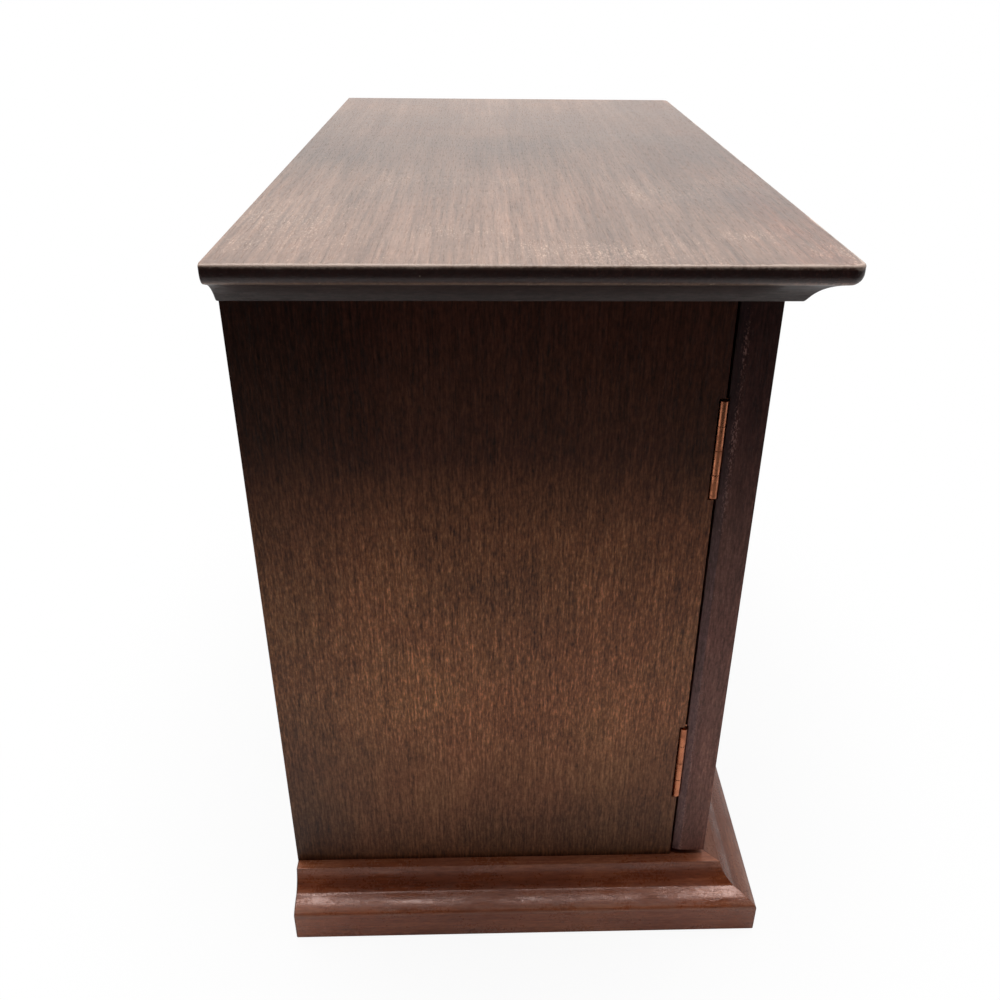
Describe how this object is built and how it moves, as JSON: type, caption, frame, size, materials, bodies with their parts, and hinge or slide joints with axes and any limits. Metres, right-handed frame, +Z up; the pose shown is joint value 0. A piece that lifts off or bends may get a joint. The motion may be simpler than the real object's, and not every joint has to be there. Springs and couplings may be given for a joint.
{
  "type": "desktop cabinet",
  "caption": "Small stained-mahogany desktop cabinet with a moulded plinth and cornice and a pair of hinged doors over a shelf.",
  "frame": {"origin": "on the floor, under the centre of the plinth's outline", "axes": "+X to the right as seen from the front, +Y towards the back (the doors face -Y), +Z up"},
  "size_m": [0.3732, 0.2022, 0.3004],
  "materials": {
    "mahogany_top": "dark stained veneer under a worn satin varnish",
    "mahogany_moulding": "dark stained, satin varnish",
    "mahogany_side": "stained mahogany veneer, satin varnish",
    "mahogany_plinth": "red-brown stained, satin varnish",
    "mahogany_door": "stained mahogany, satin varnish",
    "mahogany_inside": "stained, thin matt varnish",
    "plywood_back": "stained plywood",
    "raw_wood": "unfinished softwood",
    "hinge_copper": "copper-toned plated brass, worn",
    "brass": "polished",
    "steel": "zinc plated",
    "catch_case": "moulded",
    "magnet": "bare ferrite between steel pole plates"
  },
  "bodies": {
    "cabinet": {"top_board": "mahogany_top", "cornice_left": "mahogany_moulding", "cornice_right": "mahogany_moulding", "cornice_front": "mahogany_moulding", "cornice_back_rail": "mahogany_moulding", "side_panel_left": "mahogany_side", "side_panel_right": "mahogany_side", "back_panel": "plywood_back", "bottom_panel": "mahogany_inside", "carcase_top": "mahogany_inside", "plinth_left": "mahogany_plinth", "plinth_right": "mahogany_plinth", "plinth_front": "mahogany_plinth", "plinth_back_rail": "mahogany_plinth", "plinth_corner_blocks": "raw_wood", "shelf": "mahogany_inside", "shelf_pins": "brass", "top_screws": "steel", "plinth_screws": "steel", "back_panel_screws": "steel", "catch_case_left": "catch_case", "catch_case_right": "catch_case", "catch_magnets": "magnet", "catch_screws": "steel", "hinge_left_upper_cabinet_leaf": "hinge_copper", "hinge_left_lower_cabinet_leaf": "hinge_copper", "hinge_left_upper_pin": "hinge_copper", "hinge_left_lower_pin": "hinge_copper", "hinge_right_upper_cabinet_leaf": "hinge_copper", "hinge_right_lower_cabinet_leaf": "hinge_copper", "hinge_right_upper_pin": "hinge_copper", "hinge_right_lower_pin": "hinge_copper", "hinge_screws_cabinet": "hinge_copper"},
    "door_left": {"door_left_outer_stile": "mahogany_door", "door_left_inner_stile": "mahogany_door", "door_left_top_rail": "mahogany_door", "door_left_bottom_rail": "mahogany_door", "door_left_panel": "mahogany_door", "door_left_knob": "brass", "door_left_knob_screw": "steel", "door_left_strike": "steel", "door_left_strike_screw": "steel", "hinge_left_upper_door_leaf": "hinge_copper", "hinge_left_lower_door_leaf": "hinge_copper", "hinge_screws_door_left": "hinge_copper"},
    "door_right": {"door_right_outer_stile": "mahogany_door", "door_right_inner_stile": "mahogany_door", "door_right_top_rail": "mahogany_door", "door_right_bottom_rail": "mahogany_door", "door_right_panel": "mahogany_door", "door_right_knob": "brass", "door_right_knob_screw": "steel", "door_right_strike": "steel", "door_right_strike_screw": "steel", "hinge_right_upper_door_leaf": "hinge_copper", "hinge_right_lower_door_leaf": "hinge_copper", "hinge_screws_door_right": "hinge_copper"}
  },
  "joints": [
    {"name": "door_left_hinge", "type": "hinge", "parent": "cabinet", "child": "door_left", "pos_m": [-0.1669, -0.06435, 0.156], "axis": [0, 0, -1], "range_deg": [0, 160]},
    {"name": "door_right_hinge", "type": "hinge", "parent": "cabinet", "child": "door_right", "pos_m": [0.1669, -0.06435, 0.156], "axis": [0, 0, 1], "range_deg": [0, 160]}
  ]
}
